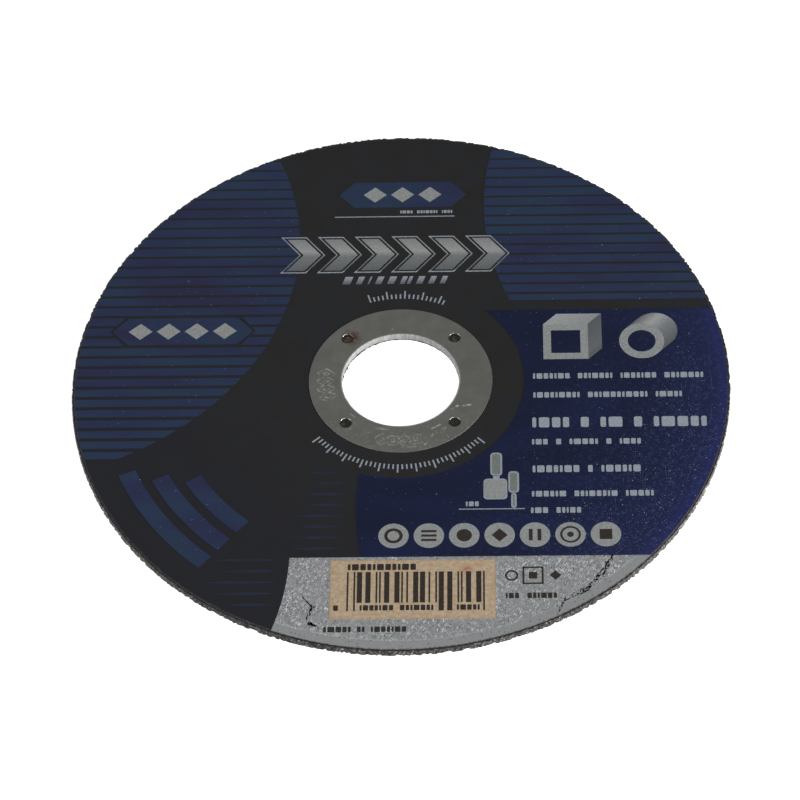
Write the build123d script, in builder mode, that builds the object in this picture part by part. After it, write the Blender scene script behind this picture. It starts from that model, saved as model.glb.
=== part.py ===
from build123d import *

import os

# Thin reinforced cut-off disc for an angle grinder, lying on its back, label side up.
# Units are millimetres. The origin is on the bore's axis in the plane of the back net,
# +Z goes up through the label side, and +X runs along the label's lines of print.

# Abrasive disc, in the size it is sold by
disc_radius = 62.5
disc_thickness = 1.6
bore_radius = 11.115

# Glass-fibre nets: every second roving of the back net is modelled, with the gaps between them,
# and the front net is the flat layer that the press makes of it under the label
strand_pitch = 13.0
strand_width = 1.3
net_height = 0.3
net_turn = 17.0
net_proud = 0.1
net_bore_gap = 0.05

# Foil label with its films of print
label_margin = 0.45
foil_thickness = 0.1
film_thickness = 0.05

# Pressed steel centre ring
flange_radius = 17.5
sheet = 0.25
mouth_chamfer = 0.3
label_ring_gap = 0.05
pierce_radius = 1.05
pierce_circle_radius = 14.5
pierce_count = 4
pierce_start_angle = 45.0
lip_depth = 0.45
lip_wall = 0.2

# Label layout: striped lens fields at the left and the upper right
left_lens_centre = (-78.0, 34.0)
left_lens_radius = 58.0
right_lens_centre = (80.0, 44.0)
right_lens_radius = 64.0
right_lens_foot = 19.5
stripe_pitch = 2.5
stripe_gap_top = 0.4
stripe_gap_bottom = 1.0
stripe_least_area = 4.0

# Label layout: plain blue field round the hub, over the bare foil field at the bottom
hub_field_radius = 23.5
blue_field_top = 17.0
blue_field_centre = (52.0, -30.0)
blue_field_radius = 60.0
foil_field_top = -41.5
foil_field_side_centre = (-75.0, -40.0)
foil_field_side_radius = 55.0

# Label layout: three blue arcs that follow the rim at the lower left
rim_arc_outer_radius = 57.0
rim_arc_width = 3.4
rim_arc_gap = 1.8
rim_arc_start_angle = 203.0
rim_arc_sweep = 27.0
rim_arc_shortening = 4.0
rim_arc_count = 3

# Label layout: blue tabs with a row of diamonds in each
tab_height = 6.6
tab_point = 3.0
tab_outline = 0.5
top_tab_centre = (0.0, 47.0)
top_tab_length = 25.0
side_tab_centre = (-42.0, 12.5)
side_tab_length = 27.0
diamond_length = 4.6
diamond_height = 4.0
diamond_pitch = 5.4
top_tab_diamonds = 3
side_tab_diamonds = 4

# Label layout: grey chevrons across the upper middle
chevron_centre = (-1.0, 31.5)
chevron_count = 6
chevron_pitch = 7.2
chevron_height = 8.0
chevron_width = 3.4
chevron_point = 3.2

# Label layout: tube ends and a row of plain spots on the blue field
square_tube_centre = (31.5, 9.0)
round_tube_centre = (46.0, 9.0)
tube_size = 8.6
tube_wall = 1.5
spot_radius = 2.8
spot_pitch = 6.5
spot_count = 7
spot_row_centre = (18.5, -36.8)

# Cream code patch on the bare foil
patch_length = 30.1
patch_height = 13.1
patch_centre = (2.6, -48.8)

# A small round is drawn with this many flats
round_sides = 10

# Levels through the thickness, from the label down
black_base = disc_thickness - 2 * film_thickness
blue_base = black_base + film_thickness
foil_base = black_base - foil_thickness
front_net_base = foil_base - net_height
ring_top = foil_base + sheet
lip_base = foil_base - lip_depth

# Radii that follow from the ring and the bore
collar_radius = bore_radius + sheet
net_bore_radius = bore_radius + net_bore_gap
label_radius = disc_radius - label_margin
label_bore_radius = flange_radius + label_ring_gap
lip_radius = pierce_radius + lip_wall
strand_count = 2 * int(disc_radius / strand_pitch) + 1
stripe_rows = int(disc_radius / stripe_pitch)


def draw_pierced(radius):
    """Draws the ring's pierced holes, at the radius given, in the sketch that is open."""
    with PolarLocations(pierce_circle_radius, pierce_count, start_angle=pierce_start_angle):
        RegularPolygon(radius, round_sides)


def draw_tab(centre, length, margin=0.0, mode=Mode.ADD):
    """Draws a tab with pointed ends in the sketch that is open, or cuts it out with a margin."""
    half_length = length / 2 + margin
    half_height = tab_height / 2 + margin
    with Locations(centre):
        Polygon(
            (-half_length, 0),
            (tab_point - half_length, -half_height),
            (half_length - tab_point, -half_height),
            (half_length, 0),
            (half_length - tab_point, half_height),
            (tab_point - half_length, half_height),
            mode=mode,
        )


def draw_diamonds(centre, count):
    """Draws a row of diamonds along a tab in the sketch that is open."""
    with Locations(centre):
        with GridLocations(diamond_pitch, 0, count, 1):
            Polygon(
                (-diamond_length / 2, 0),
                (0, -diamond_height / 2),
                (diamond_length / 2, 0),
                (0, diamond_height / 2),
            )


def rim_arc(outer_radius, start_angle, sweep):
    """A bar of print that follows the rim."""
    with BuildSketch() as bar:
        with BuildLine():
            outer = CenterArc((0, 0), outer_radius, start_angle, sweep)
            inner = CenterArc((0, 0), outer_radius - rim_arc_width, start_angle, sweep)
            Line(outer @ 0, inner @ 0)
            Line(outer @ 1, inner @ 1)
        make_face()
    return bar.sketch


# Back net, whose rovings stand proud of the abrasive as low ridges
with BuildPart() as back_net:
    with BuildSketch(Plane.XY.rotated((0, 0, net_turn))):
        with GridLocations(0, strand_pitch, 1, strand_count):
            Rectangle(2 * disc_radius, strand_width)
        with GridLocations(strand_pitch, 0, strand_count, 1):
            Rectangle(strand_width, 2 * disc_radius)
        Circle(disc_radius, mode=Mode.INTERSECT)
        Circle(net_bore_radius, mode=Mode.SUBTRACT)
    extrude(amount=net_height)

# Abrasive grain in resin, moulded through the back net, with a seat for the ring's collar and lips
with BuildPart() as body:
    with BuildSketch(Plane.XY.offset(net_proud)):
        Circle(disc_radius)
        Circle(net_bore_radius, mode=Mode.SUBTRACT)
    extrude(amount=front_net_base - net_proud)
    add(back_net.part, mode=Mode.SUBTRACT)
    with BuildSketch(Plane.XY.offset(net_height)):
        Circle(collar_radius)
    extrude(amount=front_net_base - net_height, mode=Mode.SUBTRACT)
    with BuildSketch(Plane.XY.offset(lip_base)):
        draw_pierced(lip_radius)
    extrude(amount=front_net_base - lip_base, mode=Mode.SUBTRACT)

# Front net, pressed flat under the label and the ring
with BuildPart() as front_net:
    with BuildSketch(Plane.XY.offset(front_net_base)):
        Circle(disc_radius)
        Circle(collar_radius, mode=Mode.SUBTRACT)
    extrude(amount=net_height)
    with BuildSketch(Plane.XY.offset(front_net_base)):
        draw_pierced(lip_radius)
    extrude(amount=net_height, mode=Mode.SUBTRACT)

# Centre ring: a flange on the front net, turned down into a collar that stops on the back net,
# with holes whose lips are pierced down into the abrasive
with BuildPart() as ring:
    with BuildSketch(Plane.XZ) as section:
        with BuildLine():
            Polyline(
                (bore_radius, net_height),
                (collar_radius, net_height),
                (collar_radius, foil_base),
                (flange_radius, foil_base),
                (flange_radius, ring_top),
                (bore_radius, ring_top),
                close=True,
            )
        make_face()
        chamfer(section.vertices().sort_by_distance((bore_radius, ring_top))[0], length=mouth_chamfer)
    revolve(axis=Axis.Z)
    with BuildSketch(Plane.XY.offset(lip_base)):
        draw_pierced(lip_radius)
    extrude(amount=lip_depth)
    with BuildSketch(Plane.XY.offset(lip_base)):
        draw_pierced(pierce_radius)
    extrude(amount=lip_depth + sheet, mode=Mode.SUBTRACT)

# Foil label, open at the ring's flange
with BuildPart() as foil:
    with BuildSketch(Plane.XY.offset(foil_base)):
        Circle(label_radius)
        Circle(label_bore_radius, mode=Mode.SUBTRACT)
    extrude(amount=foil_thickness)

# Field of bare foil at the bottom of the label
with BuildSketch() as foil_field:
    Circle(label_radius)
    with Locations((0, foil_field_top)):
        Rectangle(2 * label_radius, label_radius, align=(Align.CENTER, Align.MAX), mode=Mode.INTERSECT)
    with Locations(foil_field_side_centre):
        Circle(foil_field_side_radius, mode=Mode.SUBTRACT)

# Black film over the rest of the foil
with BuildPart() as black:
    with BuildSketch(Plane.XY.offset(black_base)):
        Circle(label_radius)
        Circle(label_bore_radius, mode=Mode.SUBTRACT)
        add(foil_field.sketch, mode=Mode.SUBTRACT)
    extrude(amount=film_thickness)

# Grey marks: diamonds, chevrons, plain spots and the ends of a square and a round tube
with BuildSketch() as grey_marks:
    draw_diamonds(top_tab_centre, top_tab_diamonds)
    draw_diamonds(side_tab_centre, side_tab_diamonds)
    with Locations(chevron_centre):
        with GridLocations(chevron_pitch, 0, chevron_count, 1):
            Polygon(
                (-chevron_width, chevron_height / 2),
                (0, chevron_height / 2),
                (chevron_point, 0),
                (0, -chevron_height / 2),
                (-chevron_width, -chevron_height / 2),
                (chevron_point - chevron_width, 0),
                align=None,
            )
    with Locations(spot_row_centre):
        with GridLocations(spot_pitch, 0, spot_count, 1):
            RegularPolygon(spot_radius, round_sides)
    with Locations(square_tube_centre):
        Rectangle(tube_size, tube_size)
        Rectangle(tube_size - 2 * tube_wall, tube_size - 2 * tube_wall, mode=Mode.SUBTRACT)
    with Locations(round_tube_centre):
        RegularPolygon(tube_size / 2, round_sides)
        RegularPolygon(tube_size / 2 - tube_wall, round_sides, mode=Mode.SUBTRACT)

with BuildPart() as grey:
    with BuildSketch(Plane.XY.offset(blue_base)):
        add(grey_marks.sketch)
    extrude(amount=film_thickness)

# Lens fields that hold the stripes, clear of the hub and of the side tab
with BuildSketch() as lens_fields:
    with Locations(right_lens_centre):
        Circle(right_lens_radius)
    with Locations((0, right_lens_foot)):
        Rectangle(2 * disc_radius, disc_radius, align=(Align.CENTER, Align.MIN), mode=Mode.INTERSECT)
    with Locations(left_lens_centre):
        Circle(left_lens_radius)
    Circle(label_radius, mode=Mode.INTERSECT)
    Circle(hub_field_radius, mode=Mode.SUBTRACT)
    draw_tab(side_tab_centre, side_tab_length, tab_outline, Mode.SUBTRACT)

# Stripes across the lens fields, with gaps that widen towards the bottom
with BuildSketch() as stripes:
    for row in range(-stripe_rows, stripe_rows + 1):
        height = row * stripe_pitch
        fall = (disc_radius - height) / (2 * disc_radius)
        gap = stripe_gap_top + (stripe_gap_bottom - stripe_gap_top) * fall
        with Locations((0, height)):
            Rectangle(2 * disc_radius, stripe_pitch - gap)
    add(lens_fields.sketch, mode=Mode.INTERSECT)

# Plain blue field between the hub and the bare foil
with BuildSketch() as blue_field:
    with Locations(blue_field_centre):
        Circle(blue_field_radius)
    with Locations((0, blue_field_top)):
        Rectangle(
            2 * disc_radius,
            blue_field_top - foil_field_top,
            align=(Align.CENTER, Align.MAX),
            mode=Mode.INTERSECT,
        )
    Circle(label_radius, mode=Mode.INTERSECT)
    Circle(hub_field_radius, mode=Mode.SUBTRACT)

# Blue film: stripes, plain field, tabs and arcs, with the grey marks left open
with BuildPart() as blue:
    with BuildSketch(Plane.XY.offset(blue_base)):
        add([stripe for stripe in stripes.sketch.faces() if stripe.area > stripe_least_area])
        add(blue_field.sketch)
        draw_tab(top_tab_centre, top_tab_length)
        draw_tab(side_tab_centre, side_tab_length)
        for step in range(rim_arc_count):
            bar = rim_arc(
                rim_arc_outer_radius - step * (rim_arc_width + rim_arc_gap),
                rim_arc_start_angle + step * rim_arc_shortening,
                rim_arc_sweep - step * rim_arc_shortening,
            )
            add(bar)
        add(grey_marks.sketch, mode=Mode.SUBTRACT)
    extrude(amount=film_thickness)

# Cream code patch, printed on the bare foil
with BuildPart() as patch:
    with BuildSketch(Plane.XY.offset(black_base)):
        with Locations(patch_centre):
            Rectangle(patch_length, patch_height)
    extrude(amount=film_thickness)

os.makedirs("parts", exist_ok=True)
body.part.label = "abrasive_body"
export_step(body.part, "parts/abrasive_body.step")
back_net.part.label = "back_glass_net"
export_step(back_net.part, "parts/back_glass_net.step")
front_net.part.label = "front_glass_net"
export_step(front_net.part, "parts/front_glass_net.step")
ring.part.label = "centre_ring"
export_step(ring.part, "parts/centre_ring.step")
foil.part.label = "foil_label"
export_step(foil.part, "parts/foil_label.step")
black.part.label = "black_print"
export_step(black.part, "parts/black_print.step")
blue.part.label = "blue_print"
export_step(blue.part, "parts/blue_print.step")
grey.part.label = "grey_print"
export_step(grey.part, "parts/grey_print.step")
patch.part.label = "cream_patch"
export_step(patch.part, "parts/cream_patch.step")
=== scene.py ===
from functools import partial
from math import atan2, cos, degrees, hypot, pi, radians, sin, sqrt

import bmesh
import bpy
from mathutils import Matrix, Vector, noise


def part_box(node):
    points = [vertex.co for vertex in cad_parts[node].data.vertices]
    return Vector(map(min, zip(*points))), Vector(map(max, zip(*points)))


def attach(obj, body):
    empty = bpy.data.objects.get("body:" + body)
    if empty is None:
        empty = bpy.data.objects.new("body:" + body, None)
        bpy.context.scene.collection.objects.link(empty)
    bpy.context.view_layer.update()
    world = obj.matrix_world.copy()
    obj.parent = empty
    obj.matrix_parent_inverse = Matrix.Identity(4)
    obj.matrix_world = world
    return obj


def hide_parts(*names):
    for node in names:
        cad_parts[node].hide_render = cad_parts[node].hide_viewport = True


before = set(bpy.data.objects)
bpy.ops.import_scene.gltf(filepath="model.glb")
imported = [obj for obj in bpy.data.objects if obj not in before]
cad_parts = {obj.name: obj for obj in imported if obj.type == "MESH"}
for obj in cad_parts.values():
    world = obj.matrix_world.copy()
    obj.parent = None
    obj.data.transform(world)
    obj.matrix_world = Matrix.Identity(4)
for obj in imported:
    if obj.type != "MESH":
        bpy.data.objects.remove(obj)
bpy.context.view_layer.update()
scene = bpy.context.scene

# Lengths are millimetres, in the frame of the part's solids, until a mesh is finished
MM = 0.001
disc_radius = 62.5
bore_radius = 11.115
collar_radius = 11.365
flange_radius = 17.5

# Heights of the layers
back_skin = 0.1
collar_foot = 0.3
lip_foot = 0.95
grain_top = 1.4
foil_top = 1.5
black_top = 1.55
print_top = 1.6
flange_top = 1.65

# Pierced holes of the centre ring
pierce_radius = 1.05
lip_radius = 1.25
pierce_circle_radius = 14.5
pierce_angles = [45.0, 135.0, 225.0, 315.0]
pierce_place = pierce_circle_radius * sqrt(0.5)

# Abrasive grain of 46 grit, and the glass net at its real pitch
grit_size = 0.355
strand_pitch = 6.5
strand_width = 1.3
net_turn = radians(17.0)

# Rows of the print. The shading of the grey ink follows the first two
chevron_row = 31.5
slanted_row = 24.9
spot_row = -36.8

# How far from the axis the press left a crease along the label's edge
crease_line = 60.1

# A surface of revolution is spun as this many wedges
wedge_count = 40

# How deep a film of fine print sits in what carries it, and how far it stands up
film_root = 0.01
film_rise = 0.012


def linear(hex_colour):
    """Turns an sRGB hex colour into the linear colour that a socket takes."""
    parts = [int(hex_colour[i:i + 2], 16) / 255 for i in (1, 3, 5)]
    return [p / 12.92 if p <= 0.04045 else ((p + 0.055) / 1.055) ** 2.4 for p in parts] + [1.0]


def add_node(tree, kind, *values, output=0, stops=None, **named):
    """Adds a node, of a kind that may end with its operation, and returns one output. Plain values
    fill its sockets in turn, a name with a capital the socket of that name, and any other name is a
    setting of the node."""
    kind, *operation = kind.split()
    node = tree.nodes.new("ShaderNode" + kind)
    if operation:
        node.operation = operation[0]
    for name, value in named.items():
        if name[0].islower():
            setattr(node, name, value)
    live = [socket for socket in node.inputs if socket.enabled]
    filled = list(zip(live, values))
    for name, value in named.items():
        if name[0].isupper():
            filled.append((next(s for s in live if s.name == name.replace("_", " ")), value))
    for socket, value in filled:
        if isinstance(value, bpy.types.NodeSocket):
            tree.links.new(value, socket)
        else:
            socket.default_value = linear(value) if isinstance(value, str) else value
    if stops:
        ramp = node.color_ramp
        while len(ramp.elements) < len(stops):
            ramp.elements.new(1.0)
        for element, (place, hex_colour) in zip(ramp.elements, stops):
            element.position = place
            element.color = linear(hex_colour)
    if isinstance(output, str):
        return node.outputs[output]
    shown = [socket for socket in node.outputs if socket.enabled]
    return shown[output] if shown else None


def start_material(name):
    """A new material, what adds nodes to it, and a point's place on the object in millimetres."""
    material = bpy.data.materials.new(name)
    material.use_nodes = True
    material.node_tree.nodes.clear()
    add = partial(add_node, material.node_tree)
    place = add("Mapping", add("TexCoord", output="Object"), Scale=(1 / MM, 1 / MM, 1 / MM))
    return material, add, place


def end_material(add, **shader):
    """Joins a Principled shader, with its sockets by name, to the material's output."""
    add("OutputMaterial", Surface=add("BsdfPrincipled", **shader))


def flat_and_reach(add, place):
    """A point's place across the disc, and how far it lies from the disc's axis."""
    flat_place = add("VectorMath MULTIPLY", place, (1, 1, 0))
    return flat_place, add("VectorMath LENGTH", flat_place)


def flat_cells(add, place, scale):
    """How far a point lies from the middle of its cell, and the cell's random number."""
    near, pick = [add("TexVoronoi", place, Scale=scale, output=output, voronoi_dimensions="2D")
                  for output in ("Distance", "Color")]
    return near, add("SeparateColor", pick)


def crossed_needles(add, place, turns, cell, least):
    """Short straight strokes that lie in several directions, one in a cell (length, width) at most."""
    strokes = None
    for turn in turns:
        along = add("Mapping", place, Rotation=(0, 0, turn), Location=(9 * turn, 0, 0))
        drawn = add("Mapping", along, Scale=(1 / cell[0], 1 / cell[1], 1.0))
        near, chance = flat_cells(add, drawn, 1.0)
        power = add("MapRange", chance, least, least + 0.2)
        stroke = add("MapRange", near, 0.3, 0.22)
        line = add("Math MULTIPLY", stroke, power)
        strokes = line if strokes is None else add("Math MAXIMUM", strokes, line)
    return strokes


def scattered_specks(add, place, spacing, radius, least):
    """Round specks, one in a cell at most: a cell has one where its random number is above least."""
    near, chance = flat_cells(add, place, 1 / spacing)
    drawn = add("Math GREATER_THAN", chance, least)
    speck = add("MapRange", near, radius / spacing, 0.5 * radius / spacing)
    return add("Math MULTIPLY", speck, drawn)


def dust_edge(add, place, reach, colour, band, dust):
    """Rubs grey dust into a label's rim, across a band of radius (start, stop) with a frayed edge."""
    fray = add("TexNoise", place, Scale=2.4, Detail=3.0, Roughness=0.7)
    frayed = add("Math MULTIPLY_ADD", fray, 1.2, reach)
    share = add("MapRange", frayed, band[0], band[1], To_Max=0.85)
    return add("Mix", share, colour, dust, data_type="RGBA")


# Zirconia alumina grain in phenolic resin, pressed and baked: dull grey grains of about a third of a
# millimetre with painted shade in the pits between them, some with a pale broken face. Painted shade
# darkens the groove beside the label, the grain under the ring's holes and round the bore. It is darker
# towards the bottom, paler on the left and right of the rim, and rusty in the upper left hole
def make_abrasive():
    material, add, place = start_material("zirconia_alumina_grain")
    cell = add("TexVoronoi", place, Scale=1 / grit_size, output="Color")
    pick = add("SeparateColor", cell)
    colour = add("ValToRGB", pick, stops=[
        (0.0, "#222121"), (0.3, "#3a3938"), (0.7, "#565553"), (0.9, "#706d69"), (1.0, "#a19d99")])
    pits = add("TexVoronoi", place, Scale=0.8 / grit_size)
    # The pits between the grains are darkened as painted shade
    pit_shade = add("MapRange", pits, 0.35, 0.75)
    blotch = add("TexNoise", place, Scale=0.12, Detail=2.0)
    shade = add("MapRange", blotch, 0.35, 0.65, To_Max=0.45)
    height = add("SeparateXYZ", place, output=2)
    # Darker towards the bottom
    darker_below = add("MapRange", height, 0.2, 0.12)
    flat_place, reach = flat_and_reach(add, place)
    # Paler on the left and right of the rim
    across = add("Math ABSOLUTE", add("SeparateXYZ", place))
    paler_sides = add("MapRange", across, 36.0, 60.0, To_Max=0.2)
    wall = add("MapRange", reach, 62.2, 62.3)
    paler_sides = add("Math MULTIPLY", paler_sides, wall)
    # Painted shade: the groove beside the label, the grain under the ring's holes and the grain round the
    # bore are darkened
    groove = add("MapRange", reach, 62.36, 62.2, 0.1)
    edge = add("Math GREATER_THAN", reach, 61.9)
    hub = add("MapRange", reach, 18.0, 17.6, To_Max=0.6)
    above = add("MapRange", height, 0.5, 0.6)
    foot = add("MapRange", reach, 11.8, 11.5)
    sunk = add("Math MAXIMUM", above, foot)
    sunk = add("Math MULTIPLY", sunk, hub)
    crest = add("MapRange", height, 1.2, 1.3)
    for mask in (edge, crest):
        groove = add("Math MULTIPLY", groove, mask)
    painted_recess_shade = add("Math MAXIMUM", groove, sunk)
    rust_gap = add("VectorMath DISTANCE", flat_place, (0.4 - pierce_place, pierce_place, 0))
    rust = add("MapRange", rust_gap, 1.2, 0.5, To_Max=0.75)
    for mask, tint in ((pit_shade, "#1a1819"), (shade, "#2f2e2e"), (darker_below, "#302e2d"),
                       (paler_sides, "#9a9a96"), (painted_recess_shade, "#1a1817"), (rust, "#4f3428")):
        colour = add("Mix", mask, colour, tint, data_type="RGBA")
    relief = add("Bump", Strength=0.8, Distance=0.06 * MM, Height=pits, invert=True)
    end_material(add, Base_Color=colour, Roughness=0.72, Normal=relief, Specular_IOR_Level=0.35)
    return material


# Glass roving soaked in phenolic resin and pressed flat: dark brownish grey, with the paler hair
# lines of its fibres along the strand
def make_roving(name, turn):
    material, add, place = start_material(name)
    along = add("Mapping", place, Rotation=(0, 0, -turn))
    drawn = add("Mapping", along, Scale=(0.12, 9.0, 1.0))
    fibres = add("TexNoise", drawn, Scale=1.0, Detail=3.0)
    colour = add("ValToRGB", fibres, stops=[(0.3, "#2a2825"), (0.55, "#46433d"), (0.75, "#79746a")])
    relief = add("Bump", Strength=0.6, Distance=0.03 * MM, Height=fibres)
    end_material(add, Base_Color=colour, Roughness=0.5, Normal=relief)
    return material


# Aluminium foil, rolled, glued on a net and pressed: dull silver in small crumpled facets, crossed by
# fine creases under a millimetre long, painted bright as glints, that gather in patches, with a painted
# glint along the crease near its edge, a few dark specks, and pressed smooth in a band along its edge
def make_foil():
    material, add, place = start_material("pressed_aluminium_foil")
    _, reach = flat_and_reach(add, place)
    creases = crossed_needles(add, place, (2.05, 1.75, 2.4, 0.8), (1.3, 0.17), 0.78)
    gather = add("TexNoise", place, Scale=0.28, Detail=2.0)
    patches = add("MapRange", gather, 0.38, 0.58, 0.45)
    inside = add("MapRange", reach, 60.4, 59.9, 0.12)
    for mask in (patches, inside):
        creases = add("Math MULTIPLY", creases, mask)
    edge_line = add("Math COMPARE", reach, crease_line, 0.1)
    for mask in (patches, 0.45):
        edge_line = add("Math MULTIPLY", edge_line, mask)
    # The creases and the crease near the edge are painted bright, as glints
    bright = add("Math MAXIMUM", creases, edge_line)
    grey = add("TexNoise", place, Scale=2.2, Detail=5.0, Roughness=0.8)
    facet = add("TexVoronoi", place, Scale=4.8, output="Color", voronoi_dimensions="2D")
    mottle = add("Math MULTIPLY_ADD", add("SeparateColor", facet), 0.35, grey)
    colour = add("ValToRGB", mottle,
                 stops=[(0.38, "#7a7d7e"), (0.54, "#a8abac"), (0.74, "#bfc2c3"), (0.95, "#d8dbdc")])
    smooth = add("MapRange", inside, 0.12, 1.0, 0.75, 0.0)
    calm = add("MapRange", patches, 1.0, 0.45, To_Max=0.55)
    smooth = add("Math MAXIMUM", smooth, calm)
    specks = scattered_specks(add, place, 0.8, 0.14, 0.84)
    for mask, tint in ((smooth, "#bdc0c1"), (bright, "#eceff1"), (specks, "#4b4c4d")):
        colour = add("Mix", mask, colour, tint, data_type="RGBA")
    colour = dust_edge(add, place, reach, colour, (62.5, 62.7), "#6c6d6d")
    height = add("Math ADD", creases, grey)
    relief = add("Bump", Strength=0.35, Distance=0.05 * MM, Height=height)
    metal = add("MapRange", creases, To_Min=0.9, To_Max=0.5)
    end_material(add, Base_Color=colour, Metallic=metal, Roughness=0.42, Normal=relief)
    return material


# Screen-printed black ink on foil: a thin satin film, almost flat in colour, with a faint mottle, and
# bluish at the lower left
def make_black_ink():
    material, add, place = start_material("satin_black_ink")
    mottle = add("TexNoise", place, Scale=0.25, Detail=5.0)
    plain = add("ValToRGB", mottle, stops=[(0.35, "#161615"), (0.65, "#18191d")])
    slope = add("VectorMath DOT_PRODUCT", place, (-0.7, -0.7, 0))
    lower_left = add("MapRange", slope, 22.0, 44.0, To_Max=0.8)
    plain = add("Mix", lower_left, plain, "#12131b", data_type="RGBA")
    _, reach = flat_and_reach(add, place)
    colour = dust_edge(add, place, reach, plain, (62.4, 62.65), "#34353a")
    tooth = add("TexNoise", place, Scale=3.0, Detail=2.0)
    relief = add("Bump", Strength=0.15, Distance=0.01 * MM, Height=tooth)
    end_material(add, Base_Color=colour, Roughness=0.55, Normal=relief, Specular_IOR_Level=0.3)
    return material


# Screen-printed translucent blue ink on foil: a satin film that drifts between navy, slate and
# violet, and brighter at the rim. The foil's creases show through it as faint painted highlights, more
# toward the lower right, with some hair lines along the rim, and points of the foil glint through
# pinholes, nearly all of them at the lower right
def make_blue_ink():
    material, add, place = start_material("satin_blue_ink")
    _, reach = flat_and_reach(add, place)
    spread = add("Mapping", place, Scale=(0.05, 0.16, 1.0))
    drift = add("TexNoise", spread, Scale=1.0, Detail=3.0)
    colour = add("ValToRGB", drift, stops=[(0.3, "#0a1129"), (0.5, "#0c142e"), (0.7, "#101735")])
    outer = add("MapRange", reach, 44.0, 61.5, To_Max=0.8)
    rim_band = add("MapRange", reach, 59.2, 60.8, To_Max=0.85)
    slate = add("ValToRGB", drift,
                stops=[(0.3, "#21213b"), (0.45, "#1f2842"), (0.6, "#1f2d42"), (0.75, "#212645")])
    across = add("SeparateXYZ", place)
    up = add("SeparateXYZ", place, output=1)
    left = add("MapRange", across, -18.0, -20.0)
    above = add("MapRange", up, 18.0, 19.0)
    striped = add("Math MAXIMUM", left, above)
    slope = add("VectorMath DOT_PRODUCT", place, (1.0, -0.6, 0))
    strokes = crossed_needles(add, place, (2.05, 1.1, 0.5), (1.6, 0.22), 0.72)
    # The foil's creases show through as faint painted highlights, more toward the lower right
    glints_and_wear = add("MapRange", slope, 20.0, 62.0, To_Max=0.5)
    creases = add("Math MULTIPLY", strokes, glints_and_wear)
    sway = add("TexNoise", place, Scale=0.13)
    wander = add("Math MULTIPLY_ADD", sway, 3.0, reach)
    hairline = add("Math COMPARE", wander, crease_line, 0.09)
    breaks = add("TexNoise", place, Scale=0.45, Detail=2.0)
    breaks = add("MapRange", breaks, 0.45, 0.6)
    for mask in (breaks, glints_and_wear):
        hairline = add("Math MULTIPLY", hairline, mask)
    creases = add("Math MAXIMUM", creases, hairline)
    least = add("MapRange", slope, 46.0, 68.0, 0.98, 0.5)
    spared = add("MapRange", reach, 56.0, 58.5, To_Max=0.25)
    least = add("Math ADD", least, spared)
    fine = scattered_specks(add, place, 0.4, 0.085, least)
    power = add("TexNoise", place, Scale=1.7, Detail=2.0)
    strength = add("MapRange", power, 0.42, 0.7, 0.04, 0.5)
    fine = add("Math MULTIPLY", fine, strength)
    bold = scattered_specks(add, place, 2.3, 0.125, least)
    bold = add("Math MULTIPLY", bold, 0.5)
    glints = add("Math MAXIMUM", fine, bold)
    for mask, tint in ((outer, "#171d3f"), (rim_band, "#1a1f49"), (striped, slate),
                       (creases, "#343c66"), (glints, "#9dabc2")):
        colour = add("Mix", mask, colour, tint, data_type="RGBA")
    colour = dust_edge(add, place, reach, colour, (62.4, 62.65), "#34353a")
    end_material(add, Base_Color=colour, Roughness=0.5, Specular_IOR_Level=0.2)
    return material


# Screen-printed grey ink: satin and finely mottled, with a soft sheen in dark dots across the
# chevrons, and fading to the foot of the slanted bars
def make_grey_ink(name, darker, lighter):
    material, add, place = start_material(name)
    mottle = add("TexNoise", place, Scale=2.4, Detail=5.0, Roughness=0.7)
    colour = add("ValToRGB", mottle, stops=[(0.33, darker), (0.67, lighter)])
    up = add("SeparateXYZ", place, output=1)
    rise = add("MapRange", up, chevron_row - 4.2, chevron_row + 4.2)
    sheen = add("ValToRGB", rise,
                stops=[(0.0, "#404345"), (0.45, "#626567"), (0.6, "#8e8f8f"), (1.0, "#6c6e6f")])
    dots = add("TexNoise", place, Scale=5.5, Detail=1.0)
    dots = add("MapRange", dots, 0.45, 0.65, To_Max=0.45)
    sheen = add("Mix", dots, sheen, "#434547", data_type="RGBA")
    on_chevrons = add("Math COMPARE", up, chevron_row, 4.15)
    share = add("Math MULTIPLY", on_chevrons, 0.8)
    on_bars = add("Math COMPARE", up, slanted_row, 1.2)
    fade = add("MapRange", up, slanted_row + 0.8, slanted_row - 0.7, To_Max=0.75)
    fade = add("Math MULTIPLY", fade, on_bars)
    for mask, tint in ((share, sheen), (fade, "#3a3d40")):
        colour = add("Mix", mask, colour, tint, data_type="RGBA")
    end_material(add, Base_Color=colour, Roughness=0.5, Specular_IOR_Level=0.35)
    return material


# Grey ink in a fine halftone: light on the drawn square tube's top, dark on its side, and light and
# dark in turn round the drawn round tube
def make_shaded_ink():
    material, add, place = start_material("halftone_grey_ink")
    across = add("VectorMath DOT_PRODUCT", place, (0.7, -0.7, 0))
    share = add("MapRange", across, 9.7, 30.7)
    tone = add("ValToRGB", share, stops=[
        (0.0, "#8d9091"), (0.28, "#7e8182"), (0.29, "#4b4e50"), (0.52, "#585b5d"), (0.56, "#4c4f51"),
        (0.68, "#8f9293"), (0.8, "#6b6e70"), (1.0, "#46494b")])
    grain = add("TexNoise", place, Scale=2.5, Detail=2.0)
    shade = add("MapRange", grain, 0.35, 0.65, To_Max=0.25)
    colour = add("Mix", shade, tone, "#3d4042", data_type="RGBA")
    end_material(add, Base_Color=colour, Roughness=0.5, Specular_IOR_Level=0.35)
    return material


# A plain satin ink, pressed on flat, with a faint mottle
def make_plain_ink(name, grain, detail, stops, roughness):
    material, add, place = start_material(name)
    mottle = add("TexNoise", place, Scale=grain, Detail=detail)
    colour = add("ValToRGB", mottle, stops=stops)
    end_material(add, Base_Color=colour, Roughness=roughness, Specular_IOR_Level=0.3)
    return material


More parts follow.
